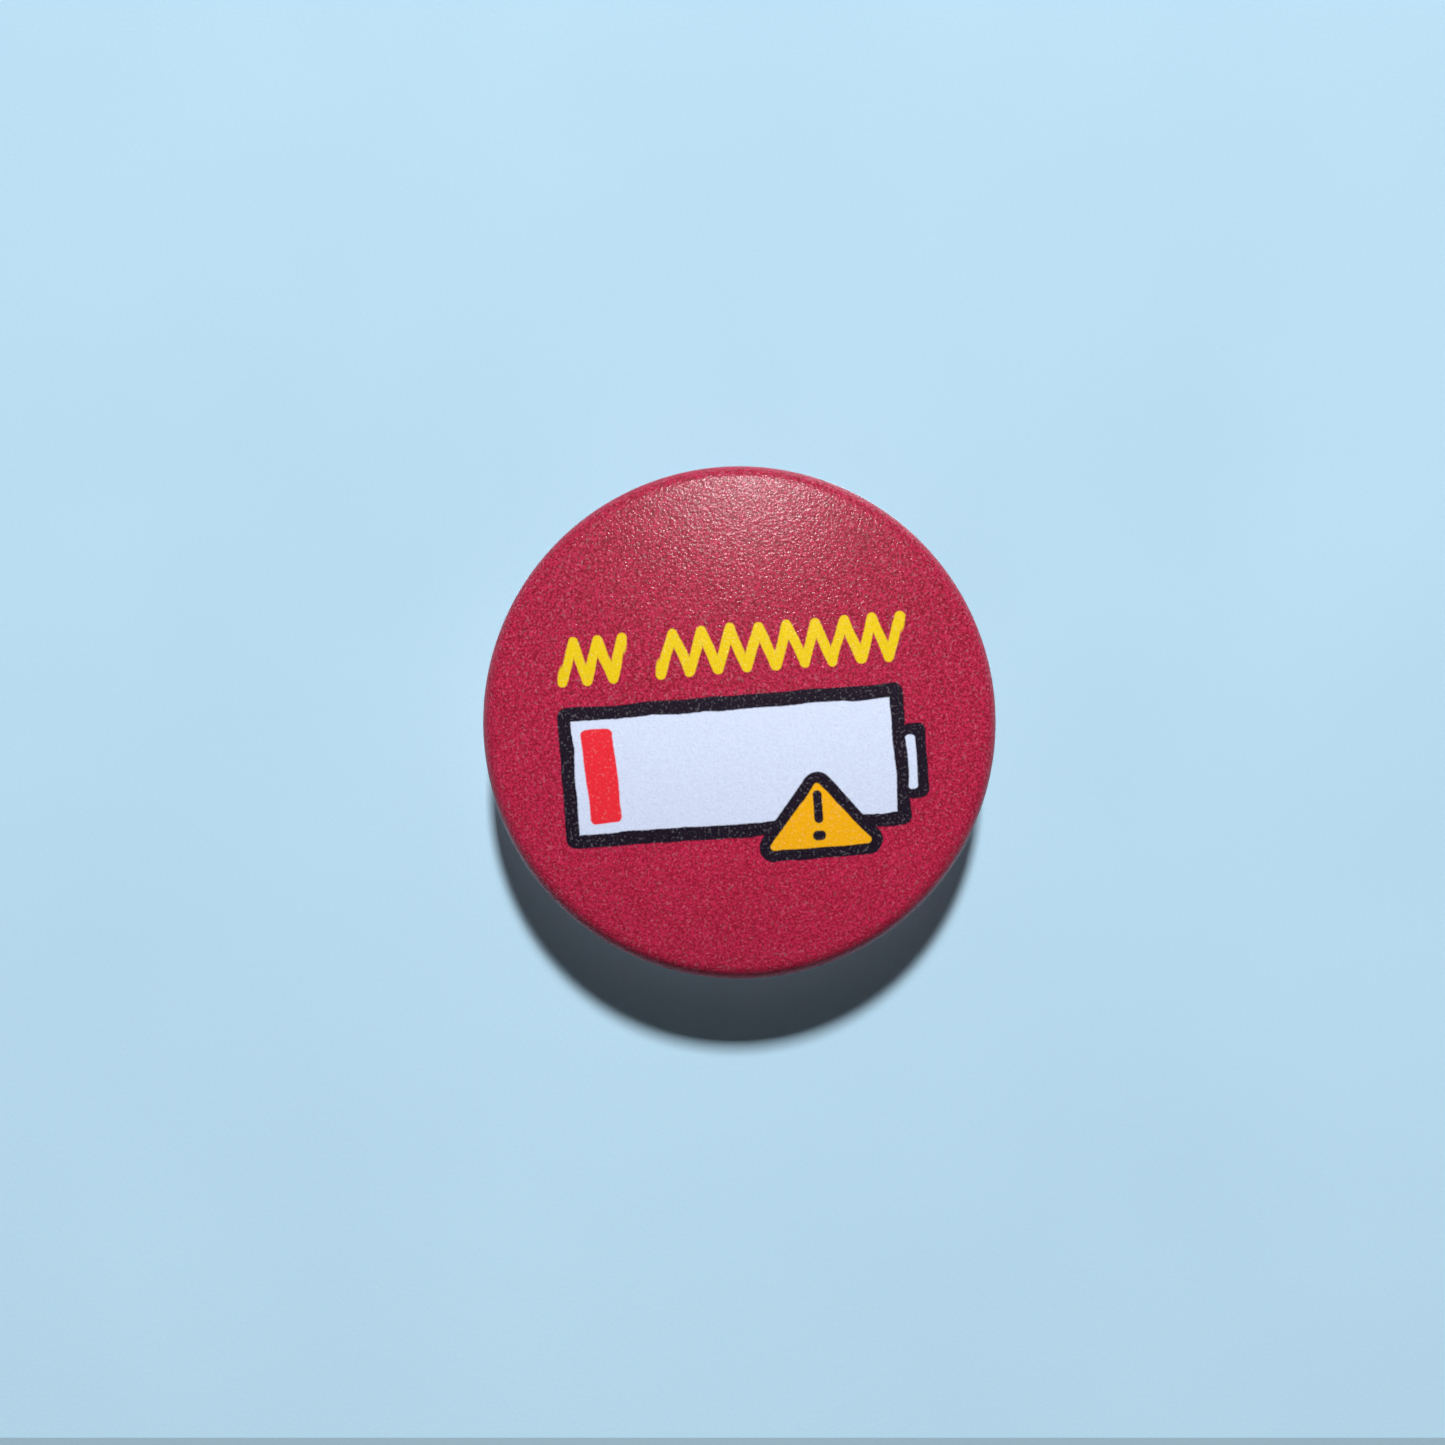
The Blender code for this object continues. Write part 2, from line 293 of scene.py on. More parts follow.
def off_axis(tree, where):
    """Distance from the disc's axis."""
    x, _, up = where.parts()
    return node(tree, "ShaderNodeCombineXYZ", X=x, Y=up).vector("LENGTH")


# ---------------------------------------------------------------- the print, by distance to shapes

# CRIMSON_PALE and CRIMSON_DEEP are the two ends of the ground's speckle, which partly paints the film's
# glints and the shade between them.
CRIMSON_PALE = linear(204, 38, 82)
CRIMSON_DEEP = linear(144, 8, 40)
YELLOW = linear(232, 198, 4)
INK = linear(21, 8, 29)
WHITE = linear(216, 226, 250)
RED = linear(239, 40, 54)
AMBER = linear(251, 180, 0)

ART_TILT = math.radians(4.4)
WOBBLE = 0.55
WOBBLE_SIZE = 5.0
FRAY = 0.1
FRAY_SIZE = 0.45
EDGE_SOFTNESS = 0.16
OUTLINE = 1.5

# Two zigzag strokes stand on the slogan's line.
SLOGAN_UP = 8.1
ZIGZAG_HEIGHT = 4.4
ZIGZAG_WIDTH = 1.1

# The ground's speckle, which paints the film's glints and the shade between them, is strongest in the upper
# half, and the ground is painted darker towards the top and lighter towards the bottom as painted shade.
SPECKLE_SIZE = 0.26
PATCH_SIZE = 9.0
PATCH_SHARE = 0.16
LOWER_SPECKLE = 0.75
LOWER_PAINTED_LIGHT = 1.08
UPPER_PAINTED_SHADE = 0.76

# The film's sand grain. It fades where the film is stretched round the rim.
PEBBLE_SIZE = 0.37
PEBBLE_ROUGHNESS_SIZE = 0.29
GRAIN_HEIGHT = 0.075 * MM
PRINTED_GRAIN_HEIGHT = 0.02 * MM
FADE_START = 28.2
FADE_END = 29.0
FADED_GRAIN = 0.3


def art_place(tree):
    """The picture's own coordinates, in millimetres: turned by its tilt, with a hand's slight wobble."""
    x, _, up = place(tree).parts()
    flat = node(tree, "ShaderNodeCombineXYZ", X=x, Y=up)
    moved = flat
    for size, reach in ((WOBBLE_SIZE, WOBBLE), (FRAY_SIZE, FRAY)):
        shift = clouds(tree, flat, size, detail=1.0, output="Color").vector("SUBTRACT", (0.5, 0.5, 0.5))
        moved = moved.vector("ADD", shift.vector("SCALE", scale=reach))
    return node(
        tree,
        "ShaderNodeVectorRotate",
        settings={"rotation_type": "Z_AXIS"},
        Vector=moved,
        Angle=-ART_TILT,
    )


def stroke_distance(point, start, end, width):
    """Distance to a round-ended stroke."""
    run = Vector((end[0] - start[0], end[1] - start[1], 0))
    offset = point.vector("SUBTRACT", (*start, 0))
    share = offset.vector("DOT_PRODUCT", tuple(run / run.length_squared)).clamped()
    along = node(point.tree, "ShaderNodeCombineXYZ", X=share * run.x, Y=share * run.y)
    return offset.vector("DISTANCE", along) - width / 2


def box_distance(point, centre, width, height, corner, turn=0.0):
    """Distance to a rounded box turned by an angle, negative inside it."""
    local = point.vector("SUBTRACT", (*centre, 0))
    if turn:
        settings = {"rotation_type": "Z_AXIS"}
        local = node(point.tree, "ShaderNodeVectorRotate", settings=settings, Vector=local, Angle=-turn)
    half = (width / 2 - corner, height / 2 - corner, 0)
    past = local.vector("ABSOLUTE").vector("SUBTRACT", half)
    outside = past.vector("MAXIMUM", (0, 0, 0)).vector("LENGTH")
    across, up, _ = past.parts()
    inside = across.math("MAXIMUM", up).math("MINIMUM", 0.0)
    return outside + inside - corner


def triangle_distance(point, corners):
    """Distance to a triangle given anticlockwise, negative inside it."""
    edge = None
    inside = None
    for start, end in zip(corners, corners[1:] + corners[:1]):
        out = Vector((end[1] - start[1], start[0] - end[0], 0)).normalized()
        past = point.vector("DOT_PRODUCT", tuple(out)) - out.dot(Vector((*start, 0)))
        near = stroke_distance(point, start, end, 0)
        edge = near if edge is None else edge.math("MINIMUM", near)
        inside = past if inside is None else inside.math("MAXIMUM", past)
    return edge * inside.math("SIGN")


def zigzag_distance(point, left, right, strokes, height, width):
    """Distance to a line that zigzags between two ends in a number of straight strokes."""
    pitch = (right - left) / strokes
    across, up, _ = point.parts()
    held = across.math("MAXIMUM", left).math("MINIMUM", right)
    folded = (held - left).math("PINGPONG", pitch)
    local = node(point.tree, "ShaderNodeCombineXYZ", X=folded, Y=up)
    stroke = stroke_distance(local, (0, -height / 2), (pitch, height / 2), 0.0)
    beyond = across - held
    squared = stroke * stroke + beyond * beyond
    return squared.math("SQRT") - width / 2


def inked(under, colour, distance):
    """colour printed over what is under it wherever distance is negative, with a soft edge."""
    share = (distance * (-1 / EDGE_SOFTNESS) + 0.5).clamped()
    return blended(under.tree, share, under, colour)


def grain_fade(tree, where):
    """1 over the face, falling to FADED_GRAIN where the skin is stretched round the rim and behind it."""
    face = ranged(tree, off_axis(tree, where), FADE_START, FADE_END, 1.0, FADED_GRAIN)
    turned_back = ranged(tree, where.parts()[1], 0.0, 1.5, 1.0, FADED_GRAIN)
    return face.math("MINIMUM", turned_back)


def crimson_ground(tree):
    """The ground's colour, speckled by the grain of the film that is pressed on it: partly the print's own
    mottle, partly painted glints and the painted shade between them.
    """
    where = place(tree)
    up = where.parts()[2]
    fine = clouds(tree, where, SPECKLE_SIZE, detail=1.0)
    slow = clouds(tree, where, PATCH_SIZE, detail=2.0)
    # The speckle is partly the grain's own mottle and partly painted glints and painted shade, made fuller
    # in the upper half where the glints fall.
    contrast = grain_fade(tree, where) * ranged(tree, up, -15.0, 15.0, LOWER_SPECKLE, 1.0)
    speckle = ranged(tree, fine, 0.38, 0.64, -0.5, 0.5) * contrast + 0.5
    share = (speckle + slow * PATCH_SHARE - PATCH_SHARE / 2).clamped()
    ground = blended(tree, share, CRIMSON_DEEP, CRIMSON_PALE)
    # Painted shade: the ground is scaled darker towards the top and lighter towards the bottom.
    return ground.vector("SCALE", scale=ranged(tree, up, -14.0, 24.0, LOWER_PAINTED_LIGHT, UPPER_PAINTED_SHADE))


def print_colour(tree):
    """The whole face: a crimson ground, two zigzags for a slogan, a low battery and a caution sign."""
    art = art_place(tree)
    page = slogan(crimson_ground(tree), art)
    page = low_battery(page, art)
    return caution_sign(page, art)


def slogan(page, art):
    line = art.vector("SUBTRACT", (0.0, SLOGAN_UP, 0.0))
    stroke = {"height": ZIGZAG_HEIGHT, "width": ZIGZAG_WIDTH}
    short = zigzag_distance(line, left=-19.1, right=-12.1, strokes=5, **stroke)
    long = zigzag_distance(line, left=-8.2, right=18.5, strokes=17, **stroke)
    return inked(page, YELLOW, short.math("MINIMUM", long))


def low_battery(page, art):
    body = box_distance(art, centre=(-0.93, -4.77), width=38.2, height=15.6, corner=1.0)
    terminal = box_distance(art, centre=(19.0, -5.65), width=2.7, height=8.3, corner=0.9)
    window = box_distance(art, centre=(18.6, -5.75), width=1.05, height=6.0, corner=0.4)
    turn = math.radians(2.5)
    charge = box_distance(art, centre=(-15.6, -4.7), width=3.5, height=10.4, corner=0.6, turn=turn)
    page = inked(page, INK, terminal.math("MINIMUM", body))
    page = inked(page, WHITE, body + OUTLINE)
    page = inked(page, WHITE, window)
    return inked(page, RED, charge)


def caution_sign(page, art):
    sign = triangle_distance(art, [(2.7, -13.95), (13.1, -13.95), (7.9, -7.65)])
    margin = 0.4
    border = 1.25
    page = inked(page, INK, sign - margin - border)
    page = inked(page, AMBER, sign - margin)
    page = inked(page, INK, stroke_distance(art, (7.8, -8.5), (7.8, -11.1), width=1.0))
    return inked(page, INK, stroke_distance(art, (7.65, -13.0), (8.0, -13.0), width=1.1))


def film_grain(tree, where):
    """The film's embossed sand grain as a height field of rounded pebbles, each a little rough."""
    pebbles = node(
        tree,
        "ShaderNodeTexVoronoi",
        "Distance",
        settings={"feature": "SMOOTH_F1"},
        Vector=where,
        Scale=1 / PEBBLE_SIZE,
        Smoothness=0.5,
    )
    return pebbles * 0.5 + clouds(tree, where, PEBBLE_ROUGHNESS_SIZE, detail=1.5, rough=0.6)


def print_material():
    """Printed paper, with a dull trace of the grain that the film is pressed into it with."""
    material, tree = new_material("printed_paper")
    where = place(tree)
    fibre = clouds(tree, where, 0.12, detail=1.0)
    bare = ranged(tree, fibre, 0.35, 0.65, 0.0, 0.015)
    colour = blended(tree, bare, print_colour(tree), (0.9, 0.85, 0.85, 1))
    normal = bumped(tree, film_grain(tree, where), PRINTED_GRAIN_HEIGHT)
    show(tree, principled(tree, Base_Color=colour, Roughness=0.42, Normal=normal, Specular_IOR_Level=0.1))
    return material


def paper_stock_material():
    """The paper's unprinted side and its cut edge."""
    material, tree = new_material("paper_stock")
    fibre = clouds(tree, place(tree), 0.3, detail=4.0, rough=0.65)
    colour = blended(tree, fibre, linear(236, 234, 228), linear(214, 211, 204))
    normal = bumped(tree, fibre, 0.01 * MM)
    show(tree, principled(tree, Base_Color=colour, Roughness=0.85, Normal=normal))
    return material


def film_material():
    """Clear film embossed with a sand grain: a satin mirror over the print, with a faint haze and painted
    glints as white diffuse flecks.

    Only its outer side mirrors and veils. The inner side, against the paper, is plainly clear.
    """
    material, tree = new_material("embossed_film")
    where = place(tree)
    outside = node(tree, "ShaderNodeNewGeometry", "Backfacing").math("SUBTRACT", 1.0).math("ABSOLUTE")
    fade = grain_fade(tree, where)
    grain = film_grain(tree, where)
    waves = bumped(tree, clouds(tree, where, 7.0, detail=1.0), 0.05 * MM)
    normal = bumped(tree, grain, GRAIN_HEIGHT, waves, fade)

    white = (1, 1, 1, 1)
    tight = node(tree, "ShaderNodeBsdfAnisotropic", Color=white, Roughness=0.18, Normal=normal)
    broad = node(tree, "ShaderNodeBsdfAnisotropic", Color=white, Roughness=0.44, Normal=normal)
    broad_share = 0.08
    satin = mixed(tree, broad_share, tight, broad)
    satin_share = 0.225
    mirrored = node(tree, "ShaderNodeFresnel", IOR=1.5, Normal=normal) * outside * satin_share

    # The clear part is painted a little darker where the grain is low, as painted shade from the grain's
    # focusing of light onto the print.
    focused = ranged(tree, grain, 0.45, 1.0, 0.0, 1.0)
    painted_caustic_shade = blended(tree, focused, (0.97, 0.97, 0.97, 1), white)
    clear = node(tree, "ShaderNodeBsdfTransparent", Color=painted_caustic_shade)
    haze_and_painted_glints = node(tree, "ShaderNodeBsdfDiffuse", Color=(0.9, 0.88, 0.92, 1), Normal=normal)
    # Painted glints: white diffuse flecks where the grain noise peaks, over a faint haze everywhere.
    glint_fleck_share = ranged(tree, clouds(tree, where, 0.28, detail=0.0), 0.6, 0.76, 0.001, 0.065) * fade
    veiled = mixed(tree, outside * glint_fleck_share, clear, haze_and_painted_glints)
    show(tree, mixed(tree, mirrored, veiled, satin))
    return material


def tinplate_material():
    """Rolled tinplate: a grain drawn out along one direction, and slow grey blooms."""
    material, tree = new_material("tinplate")
    grain = clouds(tree, place(tree, (1, 1, 0.06)), 0.12, detail=3.0)
    bloom = clouds(tree, place(tree), 3.0, detail=3.0)
    colour = blended(tree, bloom, linear(198, 198, 192), linear(170, 170, 168))
    rough = ranged(tree, grain, 0.3, 0.7, 0.26, 0.42)
    normal = bumped(tree, grain, 0.003 * MM)
    show(tree, principled(tree, Base_Color=colour, Metallic=1.0, Roughness=rough, Normal=normal))
    return material


def white_plastic_material():
    """Moulded white plastic: a faint spark-eroded grain, slow sink marks and a trace of handling."""
    material, tree = new_material("white_plastic")
    where = place(tree)
    grain = clouds(tree, where, 0.11, detail=2.0)
    sink = clouds(tree, where, 6.0, detail=2.0)
    smudge = clouds(tree, where, 3.2, detail=5.0, rough=0.7)
    colour = blended(tree, ranged(tree, sink, 0.3, 0.7, 0, 1), linear(232, 231, 225), linear(223, 222, 216))
    rough = ranged(tree, smudge, 0.3, 0.75, 0.34, 0.52)
    normal = bumped(tree, sink, 0.06 * MM)
    normal = bumped(tree, grain, 0.006 * MM, normal)
    shader = principled(
        tree,
        Base_Color=colour,
        Roughness=rough,
        Normal=normal,
        IOR=1.53,
        Subsurface_Weight=0.12,
        Subsurface_Scale=0.6 * MM,
    )
    show(tree, shader)
    return material


def nickel_material(name, drawn_along_x, bright, worn):
    """Nickel plate over steel, with fine lines along its length and duller patches from handling."""
    material, tree = new_material(name)
    stretch = (0.03, 1, 1) if drawn_along_x else (1, 1, 0.15)
    lines = clouds(tree, place(tree, stretch), 0.05, detail=2.0)
    patches = clouds(tree, place(tree), 1.6, detail=4.0, rough=0.65)
    colour = blended(tree, ranged(tree, patches, 0.35, 0.75, 0.0, 1.0), bright, worn)
    rough = ranged(tree, patches, 0.3, 0.75, 0.14, 0.3)
    normal = bumped(tree, lines, 0.0022 * MM)
    show(tree, principled(tree, Base_Color=colour, Metallic=1.0, Roughness=rough, Normal=normal))
    return material


# ---------------------------------------------------------------- mesh helpers

SLIVER = 0.001 * MM


def add_piece(name, mesh, body, slot, *nodes, even=False):
    """Puts a finished mesh in the scene on a body, standing for the CAD nodes it refines.

    even keeps flat faces flat in their shading, next to rounded edges.
    """
    obj = bpy.data.objects.new(name, mesh)
    bpy.context.scene.collection.objects.link(obj)
    if even:
        modifier = obj.modifiers.new("even_shading", "WEIGHTED_NORMAL")
        modifier.keep_sharp = True
    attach(obj, body)
    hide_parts(*nodes)
    return obj


def faced_out(mesh, smooth_below=35):
    """mesh with its faces pointing out, smooth but for edges sharper than an angle in degrees."""
    shape = bmesh.new()
    shape.from_mesh(mesh)
    bmesh.ops.recalc_face_normals(shape, faces=shape.faces)
    shape.to_mesh(mesh)
    shape.free()
    mesh.shade_smooth()
    mesh.set_sharp_from_angle(angle=math.radians(smooth_below))
    return mesh


def turned_mesh(name, profile, steps, relief=None, second_from=None):
    """A solid turned from (radius, depth) points that run from the axis over the outside and back inside.

    relief gives an extra (radius, depth) shift for a point's number and angle. Faces from the profile's
    stretch number second_from on take the second material.
    """
    points = []
    rings = []
    for number, (radius, depth) in enumerate(profile):
        if radius == 0:
            rings.append([len(points)])
            points.append((0, BACK_Y - depth, 0))
            continue
        rings.append(range(len(points), len(points) + steps))
        for step in range(steps):
            angle = math.tau * step / steps
            out, forward = relief(number, angle) if relief else (0, 0)
            reach = radius + out
            points.append((reach * math.cos(angle), BACK_Y - depth - forward, reach * math.sin(angle)))
    pairs = list(zip(rings, rings[1:]))
    if profile[0][0] > 0:
        pairs.append((rings[-1], rings[0]))
    faces = []
    stretch_of = []
    for stretch, (first, second) in enumerate(pairs):
        for step in range(steps):
            after = (step + 1) % steps
            corners = []
            for index in (first[step % len(first)], first[after % len(first)]):
                if index not in corners:
                    corners.append(index)
            for index in (second[after % len(second)], second[step % len(second)]):
                if index not in corners:
                    corners.append(index)
            faces.append(corners)
            stretch_of.append(stretch)
    mesh = bpy.data.meshes.new(name)
    mesh.from_pydata(points, [], faces)
    if second_from is not None:
        for polygon, stretch in zip(mesh.polygons, stretch_of):
            polygon.material_index = 1 if stretch >= second_from else 0
    return faced_out(mesh)


def tube_mesh(name, path, radii, sides):
    """Round wire along a path, closed at both ends, with its rings carried along without twisting."""
    tangents = []
    for i in range(len(path)):
        before = path[max(0, i - 1)]
        after = path[min(len(path) - 1, i + 1)]
        tangents.append((after - before).normalized())
    across = tangents[0].orthogonal().normalized()
    shape = bmesh.new()
    rings = []
    for centre, tangent, radius in zip(path, tangents, radii):
        across = (across - tangent * across.dot(tangent)).normalized()
        other = tangent.cross(across)
        ring = []
        for side in range(sides):
            angle = math.tau * side / sides
            out = math.cos(angle) * across + math.sin(angle) * other
            ring.append(shape.verts.new(centre + radius * out))
        rings.append(ring)
    for first, second in zip(rings, rings[1:]):
        for side in range(sides):
            after = (side + 1) % sides
            shape.faces.new((first[side], first[after], second[after], second[side]))
    shape.faces.new(rings[0][::-1])
    shape.faces.new(rings[-1])
    mesh = bpy.data.meshes.new(name)
    shape.to_mesh(mesh)
    shape.free()
    return faced_out(mesh, 50)


def helper_object(name, shape):
    """An object made from a bmesh, which is used up."""
    mesh = bpy.data.meshes.new(name)
    shape.to_mesh(mesh)
    shape.free()
    obj = bpy.data.objects.new(name, mesh)
    bpy.context.scene.collection.objects.link(obj)
    return obj


def box_object(name, low, high):
    """A box between two corners."""
    shape = bmesh.new()
    bmesh.ops.create_cube(shape, size=1)
    low = Vector(low)
    high = Vector(high)
    bmesh.ops.scale(shape, vec=high - low, verts=shape.verts)
    bmesh.ops.translate(shape, vec=(low + high) / 2, verts=shape.verts)
    return helper_object(name, shape)


def rounded_prism(name, outline, axis_from, axis_to, rounding):
    """An outline of (across, up) points swept along a straight axis, with all of its edges rounded."""
    shape = bmesh.new()
    first = [shape.verts.new(axis_from(across, up)) for across, up in outline]
    second = [shape.verts.new(axis_to(across, up)) for across, up in outline]
    count = len(outline)
    for i in range(count):
        j = (i + 1) % count
        shape.faces.new((first[i], first[j], second[j], second[i]))
    shape.faces.new(first[::-1])
    shape.faces.new(second)
    bmesh.ops.recalc_face_normals(shape, faces=shape.faces)
    if rounding:
        sharp = [e for e in shape.edges if e.calc_face_angle() > math.radians(40)]
        bmesh.ops.bevel(
            shape, geom=sharp, offset=rounding, offset_type="OFFSET", segments=3, profile=0.5, affect="EDGES"
        )
    return helper_object(name, shape)


def disc_object(name, x, z, radius, y_from, y_to, sides=48):
    """A short cylinder whose axis is the badge's."""
    shape = bmesh.new()
    turn = Matrix.Rotation(math.radians(90), 4, "X")
    middle = Matrix.Translation((x, (y_from + y_to) / 2, z))
    bmesh.ops.create_cone(
        shape,
        cap_ends=True,
        segments=sides,
        radius1=radius,
        radius2=radius,
        depth=abs(y_to - y_from),
        matrix=middle @ turn,
    )
    return helper_object(name, shape)


def closed_up(shape):
    """Merges points that all but meet, takes out the slivers between them and fills what they leave open."""
    bmesh.ops.remove_doubles(shape, verts=shape.verts, dist=SLIVER)
    bmesh.ops.dissolve_degenerate(shape, edges=shape.edges, dist=SLIVER)
    bmesh.ops.holes_fill(shape, edges=[e for e in shape.edges if e.is_boundary], sides=0)


def carve(mesh, steps):
    """mesh after a list of (operation, helper object) Booleans. The helpers are used up."""
    base = bpy.data.objects.new("carving", mesh)
    bpy.context.scene.collection.objects.link(base)
    for operation, helper in steps:
        modifier = base.modifiers.new(helper.name, "BOOLEAN")
        modifier.operation = operation
        modifier.solver = "EXACT"
        modifier.object = helper
    graph = bpy.context.evaluated_depsgraph_get()
    carved = bpy.data.meshes.new_from_object(base.evaluated_get(graph))
    bpy.data.objects.remove(base)
    for _, helper in steps:
        bpy.data.objects.remove(helper)
    shape = bmesh.new()
    shape.from_mesh(carved)
    closed_up(shape)
    shape.to_mesh(carved)
    shape.free()
    return carved


# ---------------------------------------------------------------- film, print and shell


def skin_side(inset):
    """One face of a skin: (radius, depth) points from the apex to the tucked edge, and each one's angle."""
    dome = arc((0, DOME_CENTRE_DEPTH), DOME_RADIUS - inset, 0, DOME_EDGE_SLOPE, DOME_SEGMENTS)
    shoulder = arc(
        (SHOULDER_CENTRE, RIM_DEPTH), SHOULDER_RADIUS - inset, DOME_EDGE_SLOPE, WIDEST, SHOULDER_SEGMENTS
    )
    tuck = arc((TUCK_CENTRE, RIM_DEPTH), TUCK_RADIUS - inset, WIDEST, TUCK_END, TUCK_SEGMENTS)
    angles = [0.0] * (len(dome) + len(shoulder) - 1)
    angles += [WIDEST + (TUCK_END - WIDEST) * (i + 1) / TUCK_SEGMENTS for i in range(TUCK_SEGMENTS)]
    return dome + shoulder[1:] + tuck[1:], angles


PLEATS = 58
PLEAT_HEIGHT = 0.2 * MM
PLEATS_START = math.radians(116)
PLEATS_FULL = math.radians(168)


def pleat_height(angle):
    """How far the gathered skin stands off the shell at an angle round the disc: narrow, uneven pleats."""
    phase = PLEATS * angle + 2.2 * math.sin(3 * angle + 0.8) + 1.1 * math.sin(8 * angle + 2.1)
    ridge = (0.5 + 0.5 * math.cos(phase)) ** 2
    uneven = 0.6 + 0.7 * noise.noise(Vector((4 * math.cos(angle), 4 * math.sin(angle), 0.5)))
    return PLEAT_HEIGHT * ridge * max(0.1, uneven)


def skin_mesh(name, inset, thickness, steps, pleated, second_from=None):
    """One skin from the apex to its tucked edge, inset from the outermost outline."""
    outer, outer_angles = skin_side(inset)
    inner, inner_angles = skin_side(inset + thickness)
    angles = outer_angles + inner_angles[::-1]

    def relief(number, angle):
        round_rim = angles[number]
        height = pleat_height(angle) * smooth_step(PLEATS_START, PLEATS_FULL, round_rim)
        return height * math.sin(round_rim), height * math.cos(round_rim)

    profile = outer + inner[::-1]
    return turned_mesh(name, profile, steps, relief if pleated else None, second_from)


def build_skins():
    film = skin_mesh("film", 0, FILM_THICKNESS, SKIN_STEPS, True)
    film.materials.append(film_material())
    add_piece("embossed_film", film, "badge", "clear_film", "film_overlay")

    outer_stretches = DOME_SEGMENTS + SHOULDER_SEGMENTS + TUCK_SEGMENTS
    paper = skin_mesh("paper", PRINT_INSET, PRINT_THICKNESS, SKIN_STEPS, True, outer_stretches)
    paper.materials.append(print_material())
    paper.materials.append(paper_stock_material())
    add_piece("printed_face", paper, "badge", "crimson_print", "printed_artwork")

    shell = skin_mesh("shell", SHELL_INSET, SHELL_THICKNESS, SHELL_STEPS, False)
    shell.materials.append(tinplate_material())
    add_piece("tinplate_shell", shell, "badge", "tinplate", "front_shell")


# ---------------------------------------------------------------- back plate


def back_plate_profile():
    """From the pan's front round the flange and the flat ring to the pan's floor."""
    front = PAN_DEPTH + PLATE_THICKNESS
    quarter = math.radians(90)
    outer_round = arc((RING_OUTER - RING_ROUND, RING_ROUND), RING_ROUND, quarter, 2 * quarter, 4)
    inner_round = arc((RING_INNER + RING_ROUND, RING_ROUND), RING_ROUND, 2 * quarter, 3 * quarter, 4)
    fillet = arc((PAN_RADIUS - PAN_FILLET, PAN_DEPTH - PAN_FILLET), PAN_FILLET, quarter, 0, 4)
    bead = []
    for i in range(BEAD_STEPS + 1):
        share = i / BEAD_STEPS
        rise = BEAD_HEIGHT * math.sin(math.pi * share) ** 2
        bead.append((BEAD_RADIUS + BEAD_WIDTH * (0.5 - share), PAN_DEPTH - rise))
    return [
        (0, front),
        (PAN_RADIUS + PLATE_THICKNESS, front),
        (PLATE_SHOULDER, FLANGE_FRONT),
        (FLANGE_RADIUS, FLANGE_FRONT),
        (FLANGE_RADIUS, FLANGE_BACK),
        (RING_OUTER, FLANGE_BACK),
        *outer_round,
        *inner_round,
        *fillet,
        *bead,
        (0, PAN_DEPTH),
    ]


def arch_outline(half_width, foot, steps=16):
    """A round-topped arch over the fixed arm: (back, up) points measured from the arm's axis."""
    over = []
    for i in range(steps + 1):
        angle = math.pi * i / steps
        over.append((half_width * math.sin(angle), half_width * math.cos(angle)))
    return [(foot, half_width), *over, (foot, -half_width)]


def along_x(x):
    """What places an outline of (back, up) points, measured from the fixed arm's axis, at an x."""
    return lambda back, up: (x, SWING_AXIS.y + back, SWING_AXIS.z + up)


def build_back_plate():
    plate = turned_mesh("plate", back_plate_profile(), PLATE_STEPS)
    foot = FLOOR_Y - SWING_AXIS.y
    sides = (("left", -SADDLE_X), ("right", SADDLE_X))
    steps = []
    for side, x in sides:
        loop = arch_outline(SADDLE_RADIUS, foot - SADDLE_ROOT)
        ends = (along_x(x - SADDLE_LENGTH / 2), along_x(x + SADDLE_LENGTH / 2))
        steps.append(("UNION", rounded_prism("loop_" + side, loop, *ends, SADDLE_ROUND)))
    nub_foot = FLOOR_Y - 0.3 * MM
    nub = disc_object("gate_nub", 0, -NUB_BELOW_AXIS, NUB_RADIUS, nub_foot, FLOOR_Y + NUB_HEIGHT)
    steps.append(("UNION", nub))
    for side, x in sides:
        window = arch_outline(SADDLE_BORE, foot - 2 * PLATE_THICKNESS)
        ends = (along_x(x - WINDOW_LENGTH / 2), along_x(x + WINDOW_LENGTH / 2))
        steps.append(("DIFFERENCE", rounded_prism("window_" + side, window, *ends, 0)))
    for number in range(4):
        angle = math.radians(45 + 90 * number)
        x = EJECTOR_CIRCLE * math.cos(angle)
        z = EJECTOR_CIRCLE * math.sin(angle)
        sunk = FLOOR_Y - EJECTOR_DEPTH
        mark = disc_object(f"ejector_{number}", x, z, EJECTOR_RADIUS, sunk, FLOOR_Y + 1 * MM)
        steps.append(("DIFFERENCE", mark))
    mesh = faced_out(carve(plate, steps), 32)
    mesh.materials.append(white_plastic_material())
    add_piece("moulded_back", mesh, "badge", "white_plastic", "back_plate", even=True)


# ---------------------------------------------------------------- safety pin


def coil_point(turns):
    """A point on the coil. It starts on top, at the fixed arm, and runs round while it moves to the back."""
    angle = math.radians(90) + math.tau * turns
    offset = Vector((COIL_RADIUS * math.cos(angle), COIL_PITCH * turns, COIL_RADIUS * math.sin(angle)))
    return COIL_AXIS + offset


def coil_path(start, end):
    steps = round((end - start) * COIL_STEPS)
    return [coil_point(start + (end - start) * i / steps) for i in range(steps + 1)]


def straight(start, end, count):
    """Points from just after start to end."""
    return [start + (end - start) * (i + 1) / count for i in range(count)]


